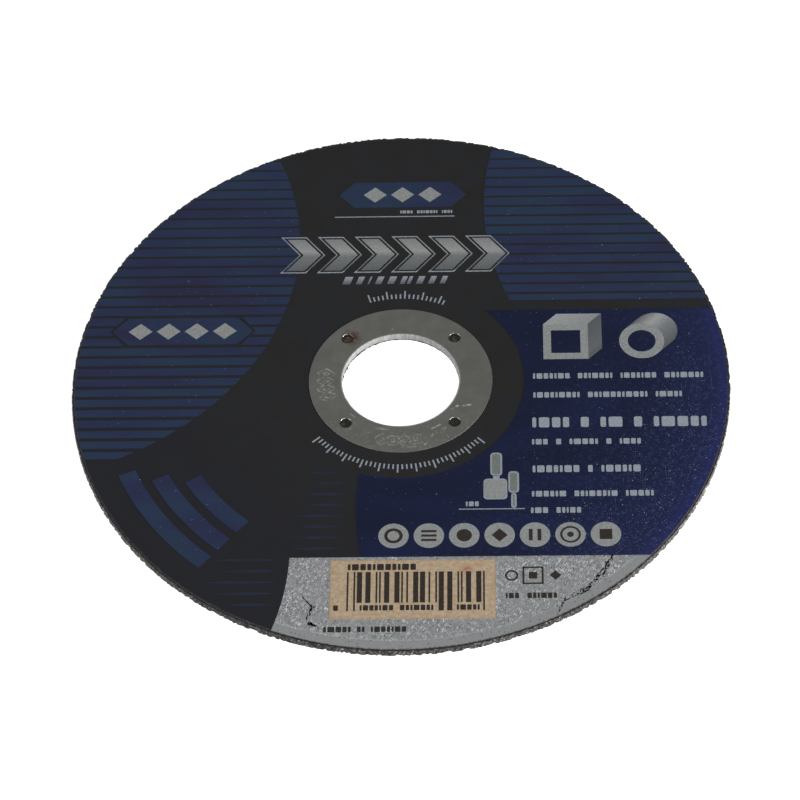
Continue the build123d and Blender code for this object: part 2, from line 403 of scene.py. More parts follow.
# Matt cream ink rolled over the foil: slightly uneven, with brownish tide marks and specks, browner
# here and there along its edge, and rubbed reddish near its upper right corner
def make_cream_ink():
    material, add, place = start_material("matt_cream_ink")
    flat_place, _ = flat_and_reach(add, place)
    mottle = add("TexNoise", place, Scale=1.3, Detail=5.0)
    colour = add("ValToRGB", mottle, stops=[(0.3, "#8f7d65"), (0.5, "#9b8972"), (0.7, "#a6967f")])
    tide = add("TexNoise", place, Scale=0.5, Detail=6.0, Roughness=0.7)
    stains = add("MapRange", tide, 0.54, 0.7, To_Max=0.5)
    low, high = [Vector(corner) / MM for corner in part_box("cream_patch")]
    from_middle = add("VectorMath SUBTRACT", flat_place, ((low + high) / 2)[:2] + (0,))
    from_middle = add("VectorMath ABSOLUTE", from_middle)
    to_edge = add("VectorMath SUBTRACT", ((high - low) / 2)[:2] + (9,), from_middle)
    along = add("SeparateXYZ", to_edge)
    upward = add("SeparateXYZ", to_edge, output=1)
    edge_gap = add("Math MINIMUM", along, upward)
    edge_gap = add("Math MULTIPLY_ADD", tide, -1.6, edge_gap)
    border = add("MapRange", edge_gap, -0.4, -0.75, To_Max=0.45)
    stains = add("Math MAXIMUM", stains, border)
    gap = add("VectorMath DISTANCE", flat_place, (12.5, -44.5, 0))
    near = add("MapRange", gap, 1.5, 0.4)
    rub = add("MapRange", mottle, 0.4, 0.55, To_Max=0.8)
    rubbed = add("Math MULTIPLY", near, rub)
    specks = scattered_specks(add, place, 0.85, 0.14, 0.93)
    for mask, tint in ((stains, "#94714f"), (rubbed, "#8a5340"), (specks, "#54402f")):
        colour = add("Mix", mask, colour, tint, data_type="RGBA")
    end_material(add, Base_Color=colour, Roughness=0.7, Specular_IOR_Level=0.25)
    return material


# Tinned mild steel, blanked and drawn by a press: dull grey with a soft brushed sheen. The edges that
# the punch rolled into its holes get painted shade in the mouths and a painted highlight on the far lips;
# its stamped marks get painted glints, it is bright where it is scuffed (the piece's own attribute of
# glints and wear), and rusty at the upper left hole
def make_steel():
    material, add, place = start_material("tinned_mild_steel")
    cloud = add("TexNoise", place, Scale=0.35, Detail=4.0)
    colour = add("ValToRGB", cloud, stops=[(0.3, "#8b8c86"), (0.7, "#979892")])
    flat_place, reach = flat_and_reach(add, place)
    folded = add("VectorMath ABSOLUTE", flat_place)
    hole_gap = add("VectorMath DISTANCE", folded, (pierce_place, pierce_place, 0))
    # The mouths of the holes are darkened as painted shade
    around = add("MapRange", hole_gap, 1.26, 1.2)
    # The far side of each hole's lip gets a painted highlight
    up = add("SeparateXYZ", place, output=1)
    folded_up = add("Math WRAP", up, 2 * pierce_place, 0.0)
    far = add("MapRange", folded_up, pierce_place, pierce_place + 0.7)
    lip = add("Math MULTIPLY", around, far)
    glints_and_wear = add("Attribute", output="Fac", attribute_name="glints_and_wear")
    rust_gap = add("VectorMath DISTANCE", flat_place, (0.75 - pierce_place, pierce_place + 0.15, 0))
    halo = add("MapRange", rust_gap, 2.3, 0.8, To_Max=0.85)
    spread = add("TexNoise", place, Scale=1.6, Detail=4.0)
    patchy = add("MapRange", spread, 0.3, 0.55)
    rust = add("Math MULTIPLY", halo, patchy)
    collar = add("MapRange", reach, 11.45, 11.25)
    stroke = add("Mapping", place, Scale=(2.6, 2.6, 0.5))
    stroke = add("TexNoise", stroke, Scale=1.0, Detail=3.0)
    brushed = add("ValToRGB", stroke, stops=[(0.35, "#7f8180"), (0.5, "#8b8d8b"), (0.65, "#989a98")])
    for mask, tint in ((around, "#5c5d58"), (lip, "#9a9b95"), (glints_and_wear, "#e9e9e4"), (collar, brushed),
                       (rust, "#6b4634")):
        colour = add("Mix", mask, colour, tint, data_type="RGBA")
    fine = add("TexNoise", place, Scale=4.0, Detail=3.0)
    satin = add("MapRange", fine, To_Min=0.38, To_Max=0.52)
    punched = add("Mix", lip, satin, 0.3)
    rough = add("Mix", collar, punched, 0.62)
    metal = add("MapRange", glints_and_wear, To_Min=1.0, To_Max=0.45)
    metal = add("Mix", collar, metal, 0.25)
    relief = add("Bump", Strength=0.12, Distance=0.02 * MM, Height=fine)
    end_material(add, Base_Color=colour, Metallic=metal, Roughness=rough, Normal=relief)
    return material


def join_part(bm, part, place):
    """Adds a finished part to a bmesh, in its place."""
    mesh = bpy.data.meshes.new("part")
    part.to_mesh(mesh)
    part.free()
    mesh.transform(place)
    bm.from_mesh(mesh)
    bpy.data.meshes.remove(mesh)


def spin_section(bm, section, steps, closed=False):
    """Spins a line of (radius, height) points round the disc's axis: one wedge, and then its copies."""
    wedge = bmesh.new()
    verts = [wedge.verts.new((radius, 0.0, height)) for radius, height in section]
    edges = [wedge.edges.new(pair) for pair in zip(verts, verts[1:] + verts[:closed])]
    angle = 2 * pi / wedge_count
    bmesh.ops.spin(wedge, geom=verts + edges, axis=(0, 0, 1), cent=(0, 0, 0), angle=angle,
                   steps=steps // wedge_count)
    copy_of_wedge = bpy.data.meshes.new("wedge")
    wedge.to_mesh(copy_of_wedge)
    wedge.free()
    for _ in range(wedge_count):
        bm.from_mesh(copy_of_wedge)
        copy_of_wedge.transform(Matrix.Rotation(angle, 4, "Z"))
    bpy.data.meshes.remove(copy_of_wedge)
    bmesh.ops.remove_doubles(bm, verts=bm.verts, dist=0.003)


def boundary_near(bm, radius, height):
    """The open edges that lie on a circle round the axis."""
    found = []
    for edge in bm.edges:
        if len(edge.link_faces) == 1:
            middle = (edge.verts[0].co + edge.verts[1].co) / 2
            if abs(hypot(middle.x, middle.y) - radius) < 0.02 and abs(middle.z - height) < 0.02:
                found.append(edge)
    return found


def clamped(value):
    """Keeps a value from 0 to 1."""
    return max(0.0, min(1.0, value))


def steps_between(start, stop, count):
    """Evenly spaced values from start to stop, both included."""
    return [start + (stop - start) * i / count for i in range(count + 1)]


def finish_piece(name, bm, material, sharp_angle=None, replaced=()):
    """Turns a bmesh in millimetres into a piece that rides on the disc."""
    bmesh.ops.recalc_face_normals(bm, faces=bm.faces)
    if sharp_angle is not None:
        for face in bm.faces:
            face.smooth = True
        for edge in bm.edges:
            edge.smooth = len(edge.link_faces) == 2 and edge.calc_face_angle() < radians(sharp_angle)
    bmesh.ops.scale(bm, vec=(MM, MM, MM), verts=bm.verts)
    mesh = bpy.data.meshes.new(name)
    bm.to_mesh(mesh)
    bm.free()
    mesh.materials.append(material)
    piece = bpy.data.objects.new(name, mesh)
    scene.collection.objects.link(piece)
    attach(piece, "root")
    if replaced:
        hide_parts(*replaced)
    return piece


def grain_relief(point, size):
    """How far the grain at a point stands up, from 0 in a pit to 1 on a tall grain."""
    distances, centres = noise.voronoi(point / size)
    tall = 0.5 + 0.5 * noise.noise(centres[0] * 7.31)
    return clamped(tall + 0.55 - distances[0])


def notch(relief, start, depth):
    """How deep a notch is where the relief falls below start, with an easy shoulder."""
    share = clamped((start - relief) / start)
    return depth * share * share * (3 - 2 * share)


def make_grain(material):
    """The abrasive with its rough rim, its moulded back and the pits under the ring's holes."""
    bm = bmesh.new()
    rim_steps, outer_steps, inner_steps = 1960, 720, 360
    rim_start, groove_start, rough_start, change = 61.4, 62.05, 62.38, 31.0
    hub_stop, seat_edge, bore_wall, groove_floor = 17.2, 11.9, 11.165, 1.27
    pit_depth, clump_depth, corner_wear, foot_wear, back_wear = 0.24, 0.4, 0.1, 0.12, 0.07
    groove = [(62.04, grain_top), (62.1, groove_floor), (62.25, groove_floor), (62.4, grain_top)]
    wall = [(disc_radius, height) for height in steps_between(1.36, 0.0, 9)]
    spin_section(bm, [(rim_start, grain_top)] + groove + wall
                 + [(62.2, 0.0), (61.9, back_skin), (rim_start, back_skin)], rim_steps)
    spin_section(bm, [(radius, back_skin) for radius in steps_between(rim_start - 0.4, change, 50)],
                 outer_steps)
    back = [(radius, back_skin) for radius in steps_between(change - 0.6, seat_edge, 31)] + [(11.5, 0.04)]
    foot = [(bore_wall, height) for height in (0.02, 0.1, 0.2, 0.29)] + [(collar_radius, collar_foot)]
    top = [(collar_radius, grain_top)] + [(radius, grain_top) for radius in steps_between(12.6, 16.4, 16)]
    spin_section(bm, back + foot + top + [(hub_stop, grain_top)], inner_steps)
    for first, second in (((rim_start, back_skin), (rim_start - 0.4, back_skin)),
                          ((change, back_skin), (change - 0.6, back_skin)),
                          ((hub_stop, grain_top), (rim_start, grain_top))):
        bmesh.ops.bridge_loops(bm, edges=boundary_near(bm, *first) + boundary_near(bm, *second))
    holes = [Vector((cos(radians(a)), sin(radians(a)))) * pierce_circle_radius for a in pierce_angles]
    for vert in bm.verts:
        x, y, z = vert.co
        radius = hypot(x, y)
        relief = grain_relief(vert.co, 1.3 * grit_size)
        lump = noise.noise(vert.co * 0.9)
        if radius > rough_start:
            clump = grain_relief(vert.co, 2.7 * grit_size)
            depth = notch(relief, 0.55, pit_depth) + notch(clump, 0.58, clump_depth)
            scale = (radius - depth) / radius
            vert.co.x, vert.co.y = x * scale, y * scale
            if z > 1.35:
                vert.co.z -= corner_wear * (1 - relief)
            elif z < 0.05:
                vert.co.z = notch(relief, 0.62, foot_wear)
        elif radius > groove_start:
            vert.co.z += 0.05 * (relief - 0.5) if z > 1.0 else 0.09 * (1 - relief)
        elif z < 0.15 and radius > seat_edge:
            vert.co.z = back_skin + back_wear * (0.5 - relief) + 0.02 * lump
        elif radius < 11.3 and z < 0.295:
            amount = 0.15 + 1.3 * noise.noise(vert.co * 0.22) + noise.noise(vert.co * 1.7)
            ragged = max(0.0, amount + 0.5 * noise.noise(vert.co * 6.0))
            scale = (radius - min(0.28, 0.24 * ragged) * (0.7 - 0.04 * x)) / radius
            vert.co.x, vert.co.y = x * scale, y * scale
        elif z > 1.35 and any((vert.co.xy - hole).length < lip_radius - 0.05 for hole in holes):
            vert.co.z = lip_foot + 0.12 * relief
    return finish_piece("abrasive_grain", bm, material,
                        replaced=("abrasive_body", "front_glass_net"))


def lay_strand(bm, start, stop, offset, turn, phase):
    """Lays one roving of the back net, weaving over and under the rovings that cross it."""
    length = stop - start
    strand = bmesh.new()
    bmesh.ops.create_cone(strand, cap_ends=True, segments=8, radius1=1.0, radius2=1.0, depth=length,
                          matrix=Matrix.Rotation(pi / 2, 4, "Y"))
    long_edges = [edge for edge in strand.edges
                  if abs(edge.verts[0].co.x - edge.verts[1].co.x) > length / 2]
    bmesh.ops.subdivide_edges(strand, edges=long_edges, cuts=max(2, int(length / 0.9)))
    half_thick, sway, middle = 0.08, 0.05, 0.13
    for vert in strand.verts:
        run = vert.co.x + (start + stop) / 2
        wave = cos(pi * run / strand_pitch + phase)
        spread = strand_width / 2 * (1 + 0.12 * noise.noise(Vector((run * 0.6, offset, turn))))
        drift = 0.12 * noise.noise(Vector((run * 0.15, offset, turn + 9)))
        vert.co = (run, offset + spread * vert.co.y + drift, middle - sway * wave + half_thick * vert.co.z)
    join_part(bm, strand, Matrix.Rotation(turn, 4, "Z"))


def make_net(name, turn, material, flip, replaced=()):
    """One of the two sets of rovings of the back net, open round the bore."""
    bm = bmesh.new()
    reach, hollow = 62.2, 11.3
    for row in range(-9, 10):
        offset = row * strand_pitch
        if abs(offset) > reach - 1:
            continue
        half = sqrt(reach ** 2 - (abs(offset) + strand_width / 2) ** 2)
        phase = pi * (row + flip)
        inner = max(0.0, abs(offset) - strand_width / 2)
        spans = [(-half, half)]
        if inner < hollow:
            gap = sqrt(hollow ** 2 - inner ** 2)
            spans = [(-half, -gap), (gap, half)]
        for start, stop in spans:
            lay_strand(bm, start, stop, offset, turn, phase)
    return finish_piece(name, bm, material, sharp_angle=50, replaced=replaced)


# Plain signs stamped in the ring, lozenges and squares: each has the radius and angle of its middle,
# its half width and half height, and how far it is turned
stamps = [(14.25, 173.0 + 7.6 * i, 0.75, 1.25, 0.0) for i in range(4)]
stamps += [(14.6, 256.5 + 8.4 * i, 0.95, 0.95, 45.0 * (i % 2)) for i in range(4)]

# Scuffs of the ring: from (x, y) to (x, y), and how bright
scuffs = [(10.5, -6.6, 10.9, -6.4, 1.0), (11.8, -6.5, 12.4, -6.35, 0.8), (12.6, -6.3, 13.3, -6.2, 0.9),
          (6.0, -11.8, 6.6, -11.5, 0.7), (6.6, -11.5, 7.5, -10.9, 1.0), (6.0, -13.6, 6.2, -13.2, 0.7),
          (8.0, -12.0, 8.6, -11.7, 0.5), (-4.5, -11.6, -3.0, -11.7, 0.45), (-4.0, -11.9, -2.2, -12.0, 0.3),
          (-9.3, -8.2, -8.6, -8.9, 0.4), (1.5, -16.2, 3.0, -16.1, 0.4), (2.6, -15.4, 4.2, -15.1, 0.35),
          (-1.8, 12.2, -1.6, 12.7, 0.4), (4.6, -15.6, 5.0, -15.4, 0.6), (9.6, -7.3, 10.0, -7.1, 0.5)]


def gap_to(point, start, stop):
    """How far a point lies from a stroke."""
    run = stop - start
    share = clamped((point - start).dot(run) / run.length_squared)
    return (point - start - run * share).length


def wear_ring(bm):
    """Stamps the flange's signs, and notes where it is bright in the attribute that its steel reads:
    painted glints along the stamps' burrs, and flecks and scuffs of wear.
    """
    stamp_depth, stamp_reach, burr_line, burr_reach, scuff_reach = 0.08, 0.26, 0.34, 0.16, 0.18
    strokes = []
    for radius, angle, wide, tall, turn in stamps:
        place = Matrix.Rotation(radians(angle), 2)
        corners = [place @ (Vector((radius, 0)) + Matrix.Rotation(radians(turn), 2) @ Vector(corner))
                   for corner in ((tall, 0), (0, wide), (-tall, 0), (0, -wide))]
        strokes += zip(corners, corners[1:] + corners[:1])
    glints_and_wear = bm.verts.layers.float.new("glints_and_wear")
    for vert in bm.verts:
        point = vert.co.xy
        if vert.co.z < 1.6 or not 11.6 < point.length < 17.4:
            continue
        vert.co.z -= 0.004 * (1 + noise.noise(vert.co * 0.8))
        gap = min(gap_to(point, *ends) for ends in strokes)
        sunk = max(0.0, 1 - gap / stamp_reach)
        burr = max(0.0, 1 - abs(gap - burr_line) / burr_reach)
        patchy = max(0.0, 0.45 + 1.1 * noise.noise(vert.co * 1.3))
        vert.co.z -= stamp_depth * sunk
        rubbed = clamped((-7.0 - point.y) / 5)
        fleck = max(0.0, noise.noise(vert.co * 3.8) - 0.36) * rubbed
        # Painted glints along the stamps' burrs, and brighter flecks of wear toward the bottom
        bright = max(0.5 * burr * patchy, 1.1 * fleck)
        for x0, y0, x1, y1, strength in scuffs:
            gap = gap_to(point, Vector((x0, y0)), Vector((x1, y1)))
            speckle = 0.6 + 0.8 * noise.noise(vert.co * 4.1)
            bright = max(bright, strength * speckle * max(0.0, 1.2 - gap / scuff_reach))
        vert[glints_and_wear] = min(1.0, bright)


def make_ring(material):
    """The pressed centre ring: a flange with a rolled mouth, a collar and four pierced holes."""
    bm = bmesh.new()
    roll, hole_mouth, burr_angle = 0.14, 1.2, -153.0
    mouth = [(bore_radius + roll - roll * sin(a), flange_top - roll + roll * cos(a))
             for a in steps_between(0.0, pi / 2, 6)]
    top = [(radius, flange_top)
           for radius in steps_between(flange_radius - 0.14, bore_radius + roll + 0.12, 43)]
    collar = [(bore_radius, 0.9), (bore_radius, 0.5), (bore_radius, collar_foot)]
    back = [(collar_radius, collar_foot), (collar_radius, grain_top - 0.01)]
    under = [(radius, grain_top) for radius in steps_between(12.6, 16.4, 24)]
    outer = flange_radius - 0.06
    edge = [(outer, grain_top), (outer, flange_top - 0.08), (outer - 0.02, flange_top - 0.02)]
    section = edge + top + mouth + collar + back + under
    spin_section(bm, section, 640, closed=True)
    for angle in pierce_angles:
        turn = radians(angle)
        centre = Vector((cos(turn), sin(turn))) * pierce_circle_radius
        doomed = [face for face in bm.faces if (face.calc_center_median().xy - centre).length < hole_mouth]
        bmesh.ops.delete(bm, geom=doomed, context="FACES")
        loops = {flange_top: [], grain_top: []}
        for item in bm.edges:
            if len(item.link_faces) == 1 and (item.verts[0].co.xy - centre).length < 2 * lip_radius:
                level = flange_top if item.verts[0].co.z > 1.5 else grain_top
                loops[level].append(item)
        for level, loop in loops.items():
            for vert in {vert for item in loop for vert in item.verts}:
                vert.co.xy = centre + (vert.co.xy - centre).normalized() * hole_mouth
        rim = loops[flange_top]
        fold = hole_mouth - pierce_radius
        lip = [(hole_mouth - fold * sin(a), flange_top - fold * (1 - cos(a)))
               for a in steps_between(0.0, pi / 2, 5)[1:]]
        lip += [(pierce_radius, 1.2), (pierce_radius, lip_foot), (lip_radius, lip_foot), (lip_radius, 1.36)]
        for radius, height in lip:
            grown = bmesh.ops.extrude_edge_only(bm, edges=rim)["geom"]
            rim = [item for item in grown if isinstance(item, bmesh.types.BMEdge)
                   and all(vert in grown for vert in item.verts)]
            for vert in {vert for item in rim for vert in item.verts}:
                spot = (vert.co.xy - centre).normalized() * radius
                vert.co = Vector((centre.x + spot.x, centre.y + spot.y, height))
        bmesh.ops.bridge_loops(bm, edges=rim + loops[grain_top])
    for vert in bm.verts:
        turn = degrees(atan2(vert.co.y, vert.co.x))
        if abs(turn - burr_angle) < 0.6 and vert.co.xy.length < 11.4 and vert.co.z > 0.9:
            vert.co.xy *= 0.99
    wear_ring(bm)
    return finish_piece("pressed_ring", bm, material, sharp_angle=40,
                        replaced=("centre_ring",))


def lay_film(bm, film, centre, base, turn=0.0, lean=0.0, rise=film_rise):
    """Gives flat faces the thickness of a film of print and lays them; lean slants them as italics."""
    grown = bmesh.ops.extrude_face_region(film, geom=film.faces[:])["geom"]
    lifted = [item for item in grown if isinstance(item, bmesh.types.BMVert)]
    bmesh.ops.translate(film, vec=(0, 0, rise + film_root), verts=lifted)
    slant = Matrix.Identity(4)
    slant[0][1] = lean
    spot = Matrix.Translation((centre[0], centre[1], base - film_root))
    join_part(bm, film, spot @ Matrix.Rotation(turn, 4, "Z") @ slant)


def lay_bar(bm, centre, size, base, turn=0.0, rounding=0.0, lean=0.0):
    """Lays a bar of print, with rounded corners where a rounding is given."""
    film = bmesh.new()
    bmesh.ops.create_grid(film, x_segments=1, y_segments=1, size=0.5, matrix=Matrix.Diagonal((*size, 1, 1)))
    if rounding:
        bmesh.ops.bevel(film, geom=film.verts[:], offset=min(rounding, 0.45 * min(size)), segments=3,
                        profile=0.5, affect="VERTICES", material=-1)
    lay_film(bm, film, centre, base, turn, lean)


def lay_disc(bm, centre, radius, base, inner=0.0, segments=48):
    """Lays a round spot of print, or a ring where an inner radius is given."""
    film = bmesh.new()
    bmesh.ops.create_circle(film, segments=segments, radius=radius, cap_ends=not inner)
    if inner:
        bmesh.ops.create_circle(film, segments=segments, radius=inner)
        bmesh.ops.bridge_loops(film, edges=film.edges[:])
    lay_film(bm, film, centre, base)


def lay_outline(bm, points, base, rise=film_rise):
    """Lays a film with the outline given."""
    film = bmesh.new()
    film.faces.new([film.verts.new((x, y, 0.0)) for x, y in points])
    lay_film(bm, film, (0.0, 0.0), base, rise=rise)


def lay_words(bm, left, middle, height, lengths, base, gap=1.3, lean=0.0):
    """Lays blocks of uneven width where a line of type would be, a row of them for each word."""
    block_pitch, block_gap, rounding = 0.8 * height, 0.2 * height, 0.14 * height * (not lean)
    for word, length in enumerate(lengths):
        count = max(1, round(length / block_pitch))
        shares = [0.6 + 0.2 * ((3 * i + 2 * word) % 4) for i in range(count)]
        pitch = length / sum(shares)
        for i, share in enumerate(shares):
            lay_bar(bm, (left + pitch * share / 2, middle), (pitch * share - block_gap, height), base,
                    rounding=rounding, lean=lean)
            left += pitch * share
        left += gap


def lay_flakes(bm, path, base, width, spread):
    """Lays a broken line of small dark flakes, as where the foil has cracked."""
    flake_pitch = 0.3
    for (x0, y0), (x1, y1) in zip(path, path[1:]):
        run = Vector((x1 - x0, y1 - y0))
        count = max(2, round(run.length / flake_pitch))
        for i in range(count):
            seed = Vector((x0 + run.x * i / count, y0 + run.y * i / count, 3.3))
            half_wide = width * (0.55 + 0.9 * noise.noise(seed * 3.1))
            if half_wide < 0.25 * width:
                continue
            half_long = max(1.1 * half_wide, 0.3 + 0.5 * noise.noise(seed * 2.3))
            film = bmesh.new()
            bmesh.ops.create_circle(film, segments=9, radius=1.0, cap_ends=True)
            for vert in film.verts:
                vert.co *= 1 + 0.7 * noise.noise(vert.co * 1.7 + seed)
            bmesh.ops.scale(film, vec=(half_long, half_wide, 1.0), verts=film.verts)
            shift = Vector((noise.noise(seed * 4.7), noise.noise(seed * 5.9))) * 2 * spread
            turn = atan2(run.y, run.x) + 1.2 * noise.noise(seed * 1.1)
            lay_film(bm, film, (seed.x + shift.x, seed.y + shift.y), base, turn)


black = make_black_ink()
blue = make_blue_ink()
grey = make_grey_ink("satin_grey_ink", "#6a6d6d", "#868988")
bluish_grey = make_grey_ink("bluish_grey_ink", "#6e757d", "#8b9198")
dim_grey = make_grey_ink("thin_grey_ink", "#5a5e5c", "#696d6a")
# Dark letterpress ink, on foil and on the cream patch
dark = make_plain_ink("dark_code_ink", 2.5, 2.0, [(0.4, "#1d1916"), (0.7, "#2f2822")], 0.6)
# Blue ink, screen-printed thin over the black, so that it hardly shows
faint = make_plain_ink("thin_blue_ink", 0.3, 3.0, [(0.35, "#171a22"), (0.65, "#1a2136")], 0.5)
cream = make_cream_ink()
foil = make_foil()

for node_name, material in (("foil_label", foil), ("black_print", black), ("blue_print", blue),
                            ("grey_print", grey), ("cream_patch", cream)):
    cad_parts[node_name].material_slots[0].material = material

make_grain(make_abrasive())
make_net("back_net_rovings", net_turn, make_roving("resin_soaked_roving", net_turn), 0,
         replaced=("back_glass_net",))
make_net("back_net_cross_rovings", net_turn + pi / 2,
         make_roving("resin_soaked_cross_roving", net_turn + pi / 2), 1)
make_ring(make_steel())

# Word bars on the blue field, in place of lines of type
bm = bmesh.new()
for left, middle, height, gap, lengths in (
        (25.0, 0.6, 1.3, 1.3, [7.2, 6.8, 7.0, 7.6]), (25.0, -4.0, 1.3, 1.3, [9.0, 11.5, 5.2]),
        (24.6, -10.6, 2.4, 1.7, [7.4, 2.0, 4.6, 2.0, 10.4]),
        (24.6, -15.2, 1.3, 1.3, [3.2, 1.2, 5.6, 1.2, 4.2]), (24.6, -21.6, 1.6, 1.3, [9.0, 1.2, 7.6]),
        (24.4, -27.4, 1.3, 1.3, [6.6, 8.2, 5.4]), (24.2, -31.2, 1.3, 1.3, [3.4, 4.8])):
    lay_words(bm, left, middle, height, lengths, print_top, gap=gap)
finish_piece("grey_word_bars", bm, bluish_grey)

# Round spots and the round tube's end, over the flat-sided ones of the solids
bm = bmesh.new()
spot_pitch, middle_spot = 6.5, 18.5
spots = [(middle_spot + spot_pitch * (i - 3), spot_row) for i in range(7)]
for spot in spots:
    lay_disc(bm, spot, 2.8, print_top)
tube_row, square_at, tube_at, tube_radius, tube_depth = 9.0, 31.5, 46.0, 4.3, 2.6
lay_disc(bm, (tube_at, tube_row), tube_radius, print_top, inner=2.66)
finish_piece("round_spots", bm, grey)

# A plain mark in each spot
bm = bmesh.new()
mark_base = print_top + film_rise
lay_disc(bm, spots[0], 1.7, mark_base, inner=1.1)
for shift in (-1.0, 0.0, 1.0):
    lay_bar(bm, (spots[1][0], spot_row + shift), (2.8, 0.5), mark_base)
lay_disc(bm, spots[2], 1.4, mark_base)
lay_bar(bm, spots[3], (2.1, 2.1), mark_base, turn=pi / 4)
for shift in (-0.8, 0.8):
    lay_bar(bm, (spots[4][0] + shift, spot_row), (0.7, 2.6), mark_base)
lay_disc(bm, spots[5], 1.9, mark_base, inner=1.5)
lay_disc(bm, spots[5], 0.6, mark_base)
lay_bar(bm, spots[6], (2.3, 2.3), mark_base)
finish_piece("spot_marks", bm, dark)

# Drawn sides of the square and the round tube, behind their ends
bm = bmesh.new()
left, right = square_at - tube_radius, square_at + tube_radius
low, high = tube_row - tube_radius, tube_row + tube_radius
for (x0, y0), (x1, y1) in (((left, high), (right, high)), ((right, high), (right, low))):
    lay_outline(bm, [(x0, y0), (x1, y1), (x1 + tube_depth, y1 + tube_depth),
                     (x0 + tube_depth, y0 + tube_depth)], print_top)
arc = [(tube_at + tube_radius * cos(a), tube_row + tube_radius * sin(a))
       for a in map(radians, steps_between(135.0, -45.0, 24))]
lay_outline(bm, arc + [(x + tube_depth, y + tube_depth) for x, y in reversed(arc)], print_top)
finish_piece("tube_sides", bm, make_shaded_ink())

# Drawn tool head with its disc over a line, left of the word bars, in a darker grey with a pale edge
bm, fill, body = bmesh.new(), bmesh.new(), bmesh.new()
for x, y, wide, tall in ((18.0, -20.4, 2.2, 5.4), (21.2, -24.6, 2.0, 5.0), (21.2, -28.9, 1.0, 3.4)):
    lay_bar(bm, (x, y), (wide, tall), print_top, rounding=0.7)
    lay_bar(fill, (x, y), (wide - 0.7, tall - 0.7), print_top + film_rise, rounding=0.4)
lay_bar(bm, (18.0, -23.4), (1.2, 0.8), print_top)
lay_bar(bm, (17.8, -26.2), (4.4, 4.8), print_top, rounding=0.7)
lay_bar(body, (17.8, -26.2), (3.9, 4.3), print_top + film_rise, rounding=0.5)
lay_bar(bm, (17.1, -30.8), (12.2, 0.2), print_top)
lay_words(bm, 12.2, -29.6, 1.1, [2.6], print_top)
finish_piece("tool_drawing", bm, bluish_grey)
finish_piece("tool_drawing_fill", fill, dim_grey)
finish_piece("tool_drawing_body", body, grey)

# Graduations round the hub, in place of the curved lines of type
bm = bmesh.new()
hub_circle, tick_angle = 20.2, 2.35
for first, last in ((107.0, 67.0), (222.0, 316.0)):
    count = round(abs(last - first) / tick_angle)
    for i, angle in enumerate(steps_between(first, last, count)):
        tall = 1.9 if i % 4 == 0 else 1.1
        turn = radians(angle)
        reach = hub_circle + tall / 2
        lay_bar(bm, (reach * cos(turn), reach * sin(turn)), (tall, 0.3), black_top, turn=turn)
finish_piece("hub_graduations", bm, bluish_grey)

# Rule and word bars under the top tab, slanted bars under the chevrons, and the chevrons' outlines
bm = bmesh.new()
lay_words(bm, -0.5, 42.5, 0.75, [2.6, 4.2, 2.2], black_top, gap=0.7)
lay_bar(bm, (-1.5, 41.3), (23.5, 0.22), black_top)
lay_words(bm, -11.4, slanted_row, 1.9, [1.9, 1.5, 0.7, 1.6, 1.7, 2.4, 1.6, 1.5, 1.4], black_top,
          gap=0.75, lean=0.35)
chevron_pitch, chevrons_middle = 7.2, -1.0
for i in range(6):
    middle = chevrons_middle + chevron_pitch * (i - 2.5)
    outer, inner = [[(middle + x, chevron_row + y) for x, y in (
        (-3.4 - 2.08 * o, 4 + o), (0.48 * o, 4 + o), (3.2 + 1.28 * o, 0), (0.48 * o, -4 - o),
        (-3.4 - 2.08 * o, -4 - o), (-0.2 - 1.28 * o, 0))] for o in (0.62, 0.4)]
    for a, b, c, d in zip(outer, outer[1:] + outer[:1], inner[1:] + inner[:1], inner):
        lay_outline(bm, [a, b, c, d], black_top, rise=print_top - black_top + film_rise)
finish_piece("grey_lines", bm, bluish_grey)

# Faint thin blue stripes that taper away beside the bare foil
bm = bmesh.new()
first_stripe, stripe_pitch = -22.0, 2.5
for row in range(13):
    height = first_stripe - stripe_pitch * row
    right = -9.8 if height > -41.5 else sqrt(55.0 ** 2 - (height + 40.0) ** 2) - 76.2
    length = min(7.5 + 0.7 * row, 15.0) * (1 - 0.2 * (row % 2))
    left = max(right - length, -sqrt(60.5 ** 2 - height ** 2))
    taper, half = 0.35 * (right - left), 0.32
    lay_outline(bm, [(left, height), (left + taper, height - half), (right - taper, height - half),
                     (right, height), (right - taper, height + half), (left + taper, height + half)],
                black_top)
finish_piece("faint_stripes", bm, faint)

# Code bars on the cream patch, after a plain formula
bm = bmesh.new()
reach, last_guard, bars_end, step = -9.4, 14.8, 15.9, 0.31
bars_top, bars_foot, guard_foot = -44.9, -51.8, -53.6
i = 0
while reach < bars_end:
    width = step * (1 + (i * i * 5 + 3 * i) % 4)
    guard = i in (0, 1, 14, 15) or reach > last_guard
    foot = guard_foot if guard else bars_foot
    lay_bar(bm, (reach + width / 2, (foot + bars_top) / 2), (width, bars_top - foot), black_top)
    reach += width + step * (1 + (7 * i + 2) % 3)
    i += 1
for left, middle, height, lengths in ((-9.4, -43.8, 1.4, [12.7]), (-11.9, -52.9, 1.2, [1.1]),
                                      (-7.1, -52.9, 1.2, [6.3, 6.3]), (10.5, -52.9, 1.2, [4.4])):
    lay_words(bm, left, middle, height, lengths, black_top, gap=1.0)
finish_piece("code_bars", bm, dark)

